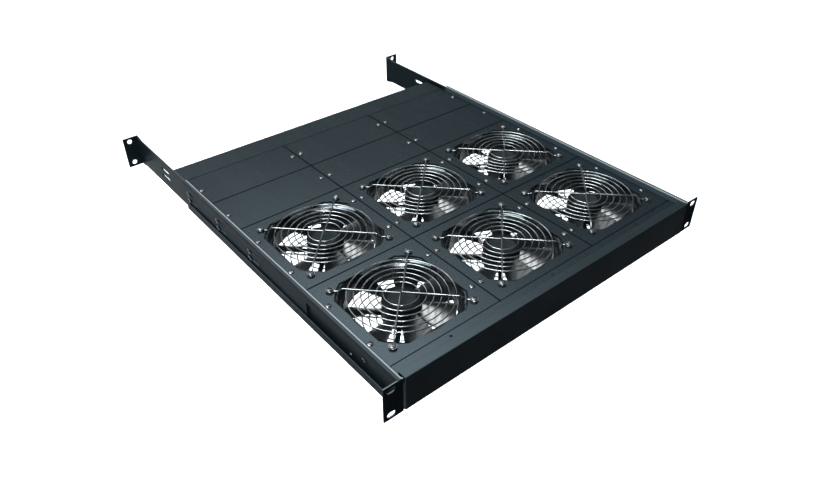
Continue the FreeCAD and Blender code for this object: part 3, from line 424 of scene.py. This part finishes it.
COATED = (("fascia", 0.25, cover_coat), ("_plate", 0.15, plate_coat), ("_housing", 0.25, casting),
          ("_rail", 0.25, frame_coat), ("_bracket", 0.25, frame_coat), ("_bar", 0.25, deck_coat),
          ("_member", 0.25, deck_coat), ("power_inlet", 0.3, inlet_plastic),
          ("_stator", 0.2, motor_iron))
for name, part in NODES.items():
    for ending, width, material in COATED:
        if name.endswith(ending):
            soften(part, width * MM, material)
            break
    else:
        paint(part, black_metal)

# ------------------------------------------------------------------ piece helpers
# What turns a mesh into a piece of the part, and the turned shapes that several pieces share.


def mesh_piece(name, mesh, body, material, record_slot, *replaced):
    """A mesh as a piece that rides on a body and stands for some solids of the frame."""
    made = placed(name, mesh)
    mesh.materials.clear()
    mesh.materials.append(material)
    if replaced:
        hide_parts(*replaced)
    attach(made, body)


def to_mesh(name, maker):
    """A mesh filled by a function of a bmesh."""
    work = bmesh.new()
    maker(work)
    mesh = bpy.data.meshes.new(name)
    work.to_mesh(mesh)
    work.free()
    return mesh


def lathe(work, outline, steps):
    """Turns an outline of (radius, height) pairs about the vertical axis."""
    rings = []
    for radius, height in outline:
        if radius < 1e-7:
            rings.append([work.verts.new((0, 0, height))])
            continue
        rings.append([work.verts.new((radius * math.cos(a), radius * math.sin(a), height))
                      for a in (2 * math.pi * i / steps for i in range(steps))])
    for low, high in zip(rings, rings[1:]):
        for i in range(steps):
            j = (i + 1) % steps
            corners = [low[i % len(low)], low[j % len(low)], high[j % len(high)], high[i % len(high)]]
            unique = list(dict.fromkeys(corners))
            if len(unique) > 2:
                work.faces.new(unique)


def finished(mesh, angle=40.0):
    """Smooth shading with creases, and faces turned outward."""
    work = bmesh.new()
    work.from_mesh(mesh)
    bmesh.ops.recalc_face_normals(work, faces=work.faces)
    for edge in work.edges:
        if len(edge.link_faces) == 2 and edge.calc_face_angle() > math.radians(angle):
            edge.smooth = False
    for face in work.faces:
        face.smooth = True
    work.to_mesh(mesh)
    work.free()
    return mesh


# ------------------------------------------------------------------ node trees for what repeats
# Geometry node trees make what repeats: the guards' rings and spokes, set down at every fan,
# and the screws, set down at every hole. Each result is kept as one plain mesh on its body.


class Tree:
    """A geometry node tree with named inputs, used once to make a plain mesh."""

    def __init__(self, name, **inputs):
        self.tree = bpy.data.node_groups.new(name, "GeometryNodeTree")
        self.values = inputs
        self.tree.interface.new_socket("Geometry", in_out="OUTPUT", socket_type="NodeSocketGeometry")
        kinds = {float: "NodeSocketFloat", int: "NodeSocketInt", bpy.types.Object: "NodeSocketObject",
                 bpy.types.Material: "NodeSocketMaterial"}
        for key, value in inputs.items():
            kind = next(socket for plain, socket in kinds.items() if isinstance(value, plain))
            self.tree.interface.new_socket(key, in_out="INPUT", socket_type=kind)
        self.start = self.tree.nodes.new("NodeGroupInput")

    def __getitem__(self, key):
        """A named input."""
        return Value(self.tree, self.start.outputs[key])

    def add(self, kind, inputs=None, output=0, **settings):
        """A node, as the value of one of its outputs."""
        return Value(self.tree, node(self.tree, kind, inputs, **settings).outputs[output])

    def bake(self, geometry, name):
        """Ends the tree, runs it on an empty carrier, and gives the plain mesh it makes."""
        solid = self.add("GeometryNodeRealizeInstances", {0: geometry})
        shaded = self.add("GeometryNodeSetShadeSmooth", {0: solid})
        dressed = self.add("GeometryNodeSetMaterial", {0: shaded, "Material": self["Material"]})
        node(self.tree, "NodeGroupOutput", {0: dressed})
        carrier = placed(name, bpy.data.meshes.new(name))
        maker = carrier.modifiers.new("maker", "NODES")
        maker.node_group = self.tree
        for item in self.tree.interface.items_tree:
            if item.in_out == "INPUT":
                maker[item.identifier] = self.values[item.name]
        mesh = frozen(carrier)
        drop(carrier)
        return mesh


def points_object(name, places):
    """A mesh of loose points to set things down on."""
    mesh = bpy.data.meshes.new(name)
    mesh.from_pydata(places, [], [])
    made = placed(name, mesh)
    made.hide_render = True
    return made


# ------------------------------------------------------------------ wire guards
# Each guard: six rings welded under two spokes. A spoke is bent square at the middle, runs out
# over the rings, joggles down to the plate and ends in an eye round its bolt.

RING_COUNT = 6
RING_FIRST = 18.5 * MM
RING_STEP = 7.6 * MM
RING_WIRE = 1.5 * MM
SPOKE_WIRE = 1.8 * MM
GUARD_RISE = 4.1 * MM
SPOKE_BEND = 0.95 * MM
GUARD_KNEE = 60.0 * MM
GUARD_FOOT = 65.5 * MM
BOLT_REACH = 52.5 * MM
EYE_RADIUS = 3.1 * MM
BEND_RADIUS = 1.3 * MM


def spoke_curve(name, side):
    """One spoke as a smooth line: eye, foot, joggle, run to the middle bend and back out."""
    curve = bpy.data.curves.new(name, "CURVE")
    curve.dimensions = "3D"
    high = GUARD_RISE + SPOKE_WIRE / 2
    low = SPOKE_WIRE / 2
    middle = Vector((side * SPOKE_BEND, 0, high))
    line = []
    for way in (-1, 1):
        bolt = Vector((side * BOLT_REACH, way * BOLT_REACH, 0))
        run = Vector((bolt.x - middle.x, bolt.y, 0))
        out = run.normalized()
        across = Vector((-out.y, out.x, 0)) * way * side
        foot_end = run.length - EYE_RADIUS
        arm = [middle + out * 0.8 * MM]
        for reach, height in ((GUARD_KNEE - 1.5 * MM, high), (GUARD_KNEE + 0.6 * MM, high - 0.4 * MM),
                              (GUARD_FOOT - 0.8 * MM, low + 0.5 * MM), (GUARD_FOOT + 1.2 * MM, low)):
            spot = out * reach
            arm.append(Vector((middle.x + spot.x, spot.y, height)))
        arm.append(Vector((middle.x + out.x * foot_end, out.y * foot_end, low)))
        for step in range(1, 13):
            angle = math.radians(25 * step)
            spot = bolt + (out * -math.cos(angle) + across * math.sin(angle)) * EYE_RADIUS
            arm.append(Vector((spot.x, spot.y, low)))
        line = arm[::-1] if way == -1 else line + arm
    spline = curve.splines.new("POLY")
    spline.points.add(len(line) - 1)
    for point, spot in zip(spline.points, line):
        point.co = (*spot, 1.0)
    return placed(name, curve)


def guard_set(name, seat, flip, *replaced):
    """All six guards on one side of the deck."""
    spokes = [spoke_curve(f"{name}_spoke_{i}", side) for i, side in enumerate((-1, 1))]
    centres = points_object(f"{name}_centres", [(x, y, seat) for _, x, y in FANS])
    tree = Tree(name, Rings=RING_COUNT, First=RING_FIRST, Step=RING_STEP, Ring_wire=RING_WIRE,
                Spoke_wire=SPOKE_WIRE, Rise=GUARD_RISE, Turn=math.pi if flip else 0.0,
                Left=spokes[0], Right=spokes[1], Centres=centres, Material=guard_wire)
    height = tree["Rise"] - tree["Ring_wire"] / 2.0
    start = tree.add("ShaderNodeCombineXYZ", {2: height})
    ladder = tree.add("GeometryNodeMeshLine", {"Count": tree["Rings"], "Start Location": start,
                                               "Offset": (0, 0, 0)})
    index = tree.add("GeometryNodeInputIndex")
    radius = tree["First"] + index * tree["Step"]
    ring = tree.add("GeometryNodeCurvePrimitiveCircle", {"Resolution": 96, "Radius": 1.0})
    sized = tree.add("ShaderNodeCombineXYZ", {0: radius, 1: radius, 2: 1.0})
    rings = tree.add("GeometryNodeInstanceOnPoints", {"Points": ladder, "Instance": ring, "Scale": sized})
    rings = tree.add("GeometryNodeRealizeInstances", {0: rings})
    ring_wire, spoke_wire = (tree.add("GeometryNodeCurvePrimitiveCircle", {
        "Resolution": 12, "Radius": tree[key] / 2.0}) for key in ("Ring_wire", "Spoke_wire"))
    joined = node(tree.tree, "GeometryNodeJoinGeometry")
    feed(tree.tree, joined.inputs[0], tree.add("GeometryNodeCurveToMesh", {
        "Curve": rings, "Profile Curve": ring_wire}))
    for side in ("Left", "Right"):
        source = tree.add("GeometryNodeObjectInfo", {"Object": tree[side]}, output="Geometry")
        bent = tree.add("GeometryNodeFilletCurve", {
            "Curve": source, "Radius": BEND_RADIUS, "Limit Radius": True, "Count": 5}, mode="POLY")
        feed(tree.tree, joined.inputs[0], tree.add("GeometryNodeCurveToMesh", {
            "Curve": bent, "Profile Curve": spoke_wire, "Fill Caps": True}))
    turned = tree.add("ShaderNodeCombineXYZ", {1: tree["Turn"]})
    spots = tree.add("GeometryNodeObjectInfo", {"Object": tree["Centres"]}, output="Geometry")
    guards = tree.add("GeometryNodeInstanceOnPoints", {
        "Points": spots, "Instance": Value(tree.tree, joined.outputs[0]), "Rotation": turned})
    mesh = tree.bake(guards, name)
    drop(centres, *spokes)
    mesh_piece(name, mesh, TRAY, guard_wire, "guard_wire", *replaced)


guard_set("top_guard_wires", DECK_TOP, False, *[f"{fan}_top_guard" for fan, _, _ in FANS])
guard_set("bottom_guard_wires", HOUSING_LOW, True, *[f"{fan}_bottom_guard" for fan, _, _ in FANS])

# ------------------------------------------------------------------ impellers
# One moulded impeller to each fan: a hub with a rounded edge, seven twisted blades with rounded
# edges, and a shallow dish in the hub's top. Each rides on its own rotor. Blade angles are in
# degrees: half the root's and the tip's width, and the turn of the first blade.

HUB_TOP = HOUSING_TOP - 1.5 * MM
HUB_LOW = HUB_TOP - 19.5 * MM
TIP_RADIUS = 57.3 * MM
BLADE_TOP = HOUSING_TOP - 7.0 * MM
BLADE_LOW = HOUSING_TOP - 20.5 * MM
BLADE_COUNT = 7
ROOT_HALF = 20.0
TIP_HALF = 16.0
BLADE_TURN = 46.5


def impeller(work):
    """Hub and blades about the origin."""
    lathe(work, [(0.0, HUB_TOP - 0.5 * MM), (14.0 * MM, HUB_TOP - 0.5 * MM),
                 (15.0 * MM, HUB_TOP - 0.1 * MM), (16.0 * MM, HUB_TOP),
                 (HUB_RADIUS - 1.6 * MM, HUB_TOP), (HUB_RADIUS - 0.5 * MM, HUB_TOP - 0.4 * MM),
                 (HUB_RADIUS - 0.1 * MM, HUB_TOP - 1.4 * MM), (HUB_RADIUS, HUB_TOP - 2.4 * MM),
                 (HUB_RADIUS, HUB_LOW), (HUB_RADIUS - 1.6 * MM, HUB_LOW),
                 (HUB_RADIUS - 1.6 * MM, HUB_TOP - 2.0 * MM), (0.0, HUB_TOP - 2.0 * MM)], 96)
    for k in range(BLADE_COUNT):
        blade(work, math.radians(BLADE_TURN + 360 * k / BLADE_COUNT))


def blade(work, turn):
    """One blade as a closed skin over a grid of stations from hub to tip."""
    across, out = 20, 12
    loops = []
    for i in range(out + 1):
        share = i / out
        radius = HUB_RADIUS - 1.0 * MM + (TIP_RADIUS - HUB_RADIUS + 1.0 * MM) * share
        half = math.radians(ROOT_HALF + (TIP_HALF - ROOT_HALF) * share)
        upper, lower = [], []
        for j in range(across + 1):
            along = j / across
            swing = half * (1 - 2 * along)
            camber = 0.9 * MM * 4 * along * (1 - along)
            height = BLADE_TOP - 0.8 * MM + (BLADE_LOW - BLADE_TOP + 1.6 * MM) * along + camber
            thick = (0.35 + 0.75 * (4 * along * (1 - along)) ** 0.5) * MM
            spot = Vector((radius * math.cos(turn + swing), radius * math.sin(turn + swing), 0))
            upper.append(work.verts.new(spot + Vector((0, 0, height + thick))))
            lower.append(work.verts.new(spot + Vector((0, 0, height - thick))))
        loops.append(upper + lower[::-1])
    for a, b in zip(loops, loops[1:]):
        count = len(a)
        for j in range(count):
            work.faces.new((a[j], b[j], b[(j + 1) % count], a[(j + 1) % count]))
    work.faces.new(loops[0])
    work.faces.new(loops[-1][::-1])


for fan, x, y in FANS:
    mesh = finished(to_mesh(f"{fan}_impeller_mesh", impeller))
    mesh.transform(Matrix.Translation((x, y, 0)))
    mesh_piece(f"{fan}_moulded_impeller", mesh, f"{fan}_rotor", blade_plastic, "impeller_plastic",
               f"{fan}_impeller")

# ------------------------------------------------------------------ screws
# Pan heads with a cross recess, set down by a node tree at every hole with a random turn: small
# ones on the plates and rails, long bolts with washers and nuts through the guards, and button
# heads on the brackets.

THREAD_PITCH = 0.8 * MM


def revolved(name, *outlines, steps=36, angle=40.0):
    """An object of turned solids, each a closed outline of (radius, height) pairs."""
    def skin(work):
        for outline in outlines:
            lathe(work, outline, steps)
    return placed(name, finished(to_mesh(name, skin), angle))


def dome(radius, height, seat):
    """Outline of a domed head on a seat, from its crown down."""
    leans = [math.radians(90 * k / 8) for k in range(9)]
    crown = [(radius * math.sin(a), seat + height * (0.3 + 0.7 * math.cos(a))) for a in leans]
    return crown + [(radius, seat)]


def pan_head(name, radius, height, washer=0.0, shank=0.0, long=0.0):
    """A domed head with a cross recess, its seat at zero, with an optional washer and shank."""
    seat = 0.5 * MM if washer else 0.0
    made = revolved(name, dome(radius, height, seat) + [(0.0, seat)])
    cutter_mesh = bmesh.new()
    for turn in (0, math.pi / 2):
        arm = bmesh.ops.create_cube(cutter_mesh, size=1.0)["verts"]
        bmesh.ops.scale(cutter_mesh, vec=(1.3 * radius, 0.24 * radius, 1.1 * height), verts=arm)
        for vert in arm:
            if vert.co.z < 0:
                vert.co.x *= 0.5
        bmesh.ops.rotate(cutter_mesh, matrix=Matrix.Rotation(turn, 3, "Z"), verts=arm)
        bmesh.ops.translate(cutter_mesh, vec=(0, 0, seat + height), verts=arm)
    cutter = placed(name + "_cutter", bpy.data.meshes.new(name + "_cutter"))
    cutter_mesh.to_mesh(cutter.data)
    cutter_mesh.free()
    recess = made.modifiers.new("recess", "BOOLEAN")
    recess.object = cutter
    recess.use_self = True
    made.data = frozen(made)
    made.modifiers.clear()
    drop(cutter)
    extras = []
    if washer:
        extras.append([(0.0, seat), (washer - 0.15 * MM, seat), (washer, seat - 0.15 * MM),
                       (washer, 0.0), (0.0, 0.0)])
    if shank:
        thread = [(0.0, -0.0001 * MM)]
        turns = int(long / THREAD_PITCH)
        for k in range(turns):
            top = -long * k / turns
            thread += [(shank * 0.86, top - 0.05 * long / turns), (shank, top - 0.5 * long / turns)]
        extras.append(thread + [(shank * 0.8, -long), (0.0, -long)])
    if extras:
        more = revolved(name + "_more", *extras, steps=20)
        work = bmesh.new()
        work.from_mesh(made.data)
        work.from_mesh(more.data)
        work.to_mesh(made.data)
        work.free()
        drop(more)
    finished(made.data)
    return made


def hex_nut(name, radius, height, bore):
    """A hexagon nut hung under zero, its corners bevelled and its bore open."""
    return revolved(name, [(radius * 0.86, 0.0), (radius, -height * 0.12), (radius, -height * 0.88),
                           (radius * 0.86, -height), (bore, -height), (bore, 0.0), (radius * 0.86, 0.0)],
                    steps=6, angle=20.0)


def screw_set(name, head, groups, seed, *replaced):
    """Sets a head down at every place of every group, each turned by chance about its own axis.
    A group's lean turns that axis away from up."""
    inputs = {}
    spots = []
    for k, (places, lean) in enumerate(groups):
        spots.append(points_object(f"{name}_places_{k}", places))
        inputs[f"Places_{k}"] = spots[-1]
        inputs[f"Lean_{k}"] = float(lean)
    tree = Tree(name, Head=head, Seed=seed, Material=black_metal, **inputs)
    source = tree.add("GeometryNodeObjectInfo", {"Object": tree["Head"]}, output="Geometry")
    chance = node(tree.tree, "FunctionNodeRandomValue", {2: 0.0, 3: math.tau, "Seed": tree["Seed"]},
                  data_type="FLOAT")
    spin = tree.add("ShaderNodeCombineXYZ", {2: Value(tree.tree, chance.outputs[1])})
    joined = node(tree.tree, "GeometryNodeJoinGeometry")
    for k in range(len(groups)):
        marks = tree.add("GeometryNodeObjectInfo", {"Object": tree[f"Places_{k}"]}, output="Geometry")
        lean = tree.add("ShaderNodeCombineXYZ", {1: tree[f"Lean_{k}"]})
        turned = tree.add("FunctionNodeRotateRotation", {"Rotation": spin, "Rotate By": lean},
                          rotation_space="GLOBAL")
        feed(tree.tree, joined.inputs[0], tree.add("GeometryNodeInstanceOnPoints", {
            "Points": marks, "Instance": source, "Rotation": turned}))
    mesh = finished(tree.bake(Value(tree.tree, joined.outputs[0]), name))
    drop(head, *spots)
    mesh_piece(name, mesh, TRAY, black_metal, "black_screws", *replaced)


SCREW_SPAN = 66.3 * MM
SCREW_STEP = 35 * MM
plate_places = []
for column in FAN_X.values():
    for side in (-1, 1):
        plate_places += [(column + side * SCREW_SPAN, y + step * SCREW_STEP, DECK_TOP)
                         for y in FAN_ROWS for step in (-1, 1)]
        plate_places += [(column + side * SCREW_SPAN, y, DECK_TOP) for y in BLANK_ROWS]

screw_set("deck_screw_heads", pan_head("small_head", 3.3 * MM, 1.5 * MM), [(plate_places, 0.0)], 3,
          "plate_screws")

corners = [(x + i * BOLT_REACH, y + j * BOLT_REACH)
           for _, x, y in FANS for i in (-1, 1) for j in (-1, 1)]
BOLT_LONG = DECK_TOP - HOUSING_LOW + 2 * SPOKE_WIRE
NUT_SEAT = HOUSING_LOW - SPOKE_WIRE
screw_set("guard_bolt_set", pan_head("guard_bolt", 3.5 * MM, 1.45 * MM, 4.4 * MM, 1.85 * MM, BOLT_LONG),
          [([(x, y, DECK_TOP + SPOKE_WIRE) for x, y in corners], 0.0)], 5, "guard_bolts")
screw_set("guard_nut_set", hex_nut("guard_nut", 4.0 * MM, 3.2 * MM, 1.9 * MM),
          [([(x, y, NUT_SEAT) for x, y in corners], 0.0)], 11, "guard_nuts")

CLAMP_SEAT = RAIL_HALF + 2.24 * MM
CLAMP_LAST = 426 * MM
CLAMP_PITCH = 77.5 * MM
RAIL_SCREW_Y = 56 * MM
clamp_rows = [(CLAMP_LAST - k * CLAMP_PITCH, j * 5 * MM) for k in range(3) for j in (-1, 1)]
screw_set("clamp_button_screws", pan_head("button", 3.45 * MM, 1.5 * MM, 0.0, 1.7 * MM, 3.65 * MM),
          [([(way * CLAMP_SEAT, y, z) for y, z in clamp_rows], way * math.pi / 2) for way in (-1, 1)], 7,
          "clamp_screws")
screw_set("rail_screw_heads", pan_head("rail_head", 3.1 * MM, 1.45 * MM),
          [([(way * RAIL_HALF, RAIL_SCREW_Y, 0.0)], way * math.pi / 2) for way in (-1, 1)], 9, "rail_screws")

# ------------------------------------------------------------------ camera, light and floor
# The camera stands high at the tray's front left corner. One soft box lights the front and a
# plain pale floor lies well below, so the open fans look through to it.

CAMERA_AT = Vector((-0.4880, -0.3400, 0.4925))
AZIMUTH = math.radians(-39.35)
ELEVATION = math.radians(36.43)
back = Vector((math.sin(AZIMUTH) * math.cos(ELEVATION), -math.cos(AZIMUTH) * math.cos(ELEVATION),
               math.sin(ELEVATION)))
camera_data = bpy.data.cameras.new("camera")
camera_data.lens = 31.23
camera_data.sensor_width = 36.0
camera_data.clip_start = 0.01
camera_data.clip_end = 50.0
camera = placed("camera", camera_data)
camera.location = CAMERA_AT
roll = Matrix.Rotation(math.radians(-0.19), 3, back)
camera.rotation_euler = (roll @ (-back).to_track_quat("-Z", "Y").to_matrix()).to_euler()
bpy.context.scene.camera = camera


def softbox(name, spot, aim, wide, high, power):
    """A rectangular area light that faces a point."""
    light = bpy.data.lights.new(name, "AREA")
    light.shape = "RECTANGLE"
    light.size = wide
    light.size_y = high
    light.energy = power
    made = placed(name, light)
    made.location = spot
    made.rotation_euler = (Vector(aim) - Vector(spot)).to_track_quat("-Z", "Y").to_euler()


softbox("front_box", (-1.15, -1.10, 1.75), (0.0, 0.2, 0.0), 0.45, 0.4, 46.0)

floor_look = Look("pale_floor")
floor_tone = floor_look.blend(floor_look.noise(2.0).ramp(0.3, 0.7), (0.95, 0.95, 0.95), (0.97, 0.97, 0.97))
floor_material = floor_look.finish(Base_Color=floor_tone, Roughness=0.9, Specular_IOR_Level=0.0)
FLOOR = -1.0
REACH = 30.0
floor_mesh = bpy.data.meshes.new("floor")
floor_mesh.from_pydata([(-REACH, -REACH, FLOOR), (REACH, -REACH, FLOOR),
                        (REACH, REACH, FLOOR), (-REACH, REACH, FLOOR)], [], [(0, 1, 2, 3)])
floor_mesh.materials.append(floor_material)
floor = placed("floor", floor_mesh)

# The studio's sky is dark but for two broad soft lights, one overhead and one high behind the
# tray, and a pale band at the horizon that carries the floor on.
BACK_POWER = 5.3
TOP_POWER = 20.0
HORIZON_POWER = 1.15
FILL_POWER = 0.085
world = bpy.data.worlds.new("studio")
world.use_nodes = True
sky = world.node_tree
toward = Value(sky, node(sky, "ShaderNodeTexCoord").outputs["Generated"])
east, north, upward = toward.parts()
behind = (east * 0.57 + north * 0.82) / ((1.0 - upward * upward).math("MAXIMUM", 0.001)).math("SQRT")
back_light = upward.ramp(0.53, 0.77) * (1.0 - upward.ramp(0.80, 0.90)) * behind.ramp(0.2, 0.75)
back_light = back_light * (1.0 - east.ramp(0.40, 0.66)) * BACK_POWER
top_light = (upward * 0.92 + north * 0.08 - east * 0.38).ramp(0.93, 0.978) * TOP_POWER
horizon = (1.0 - upward.ramp(0.12, 0.20)) * HORIZON_POWER
glow = sky.nodes["Background"]
glow.inputs[0].default_value = (0.96, 0.99, 1.0, 1.0)
feed(sky, glow.inputs[1], back_light + top_light + horizon + FILL_POWER)
bpy.context.scene.world = world
bpy.context.scene.view_settings.view_transform = "Standard"
bpy.context.scene.view_settings.gamma = 0.86
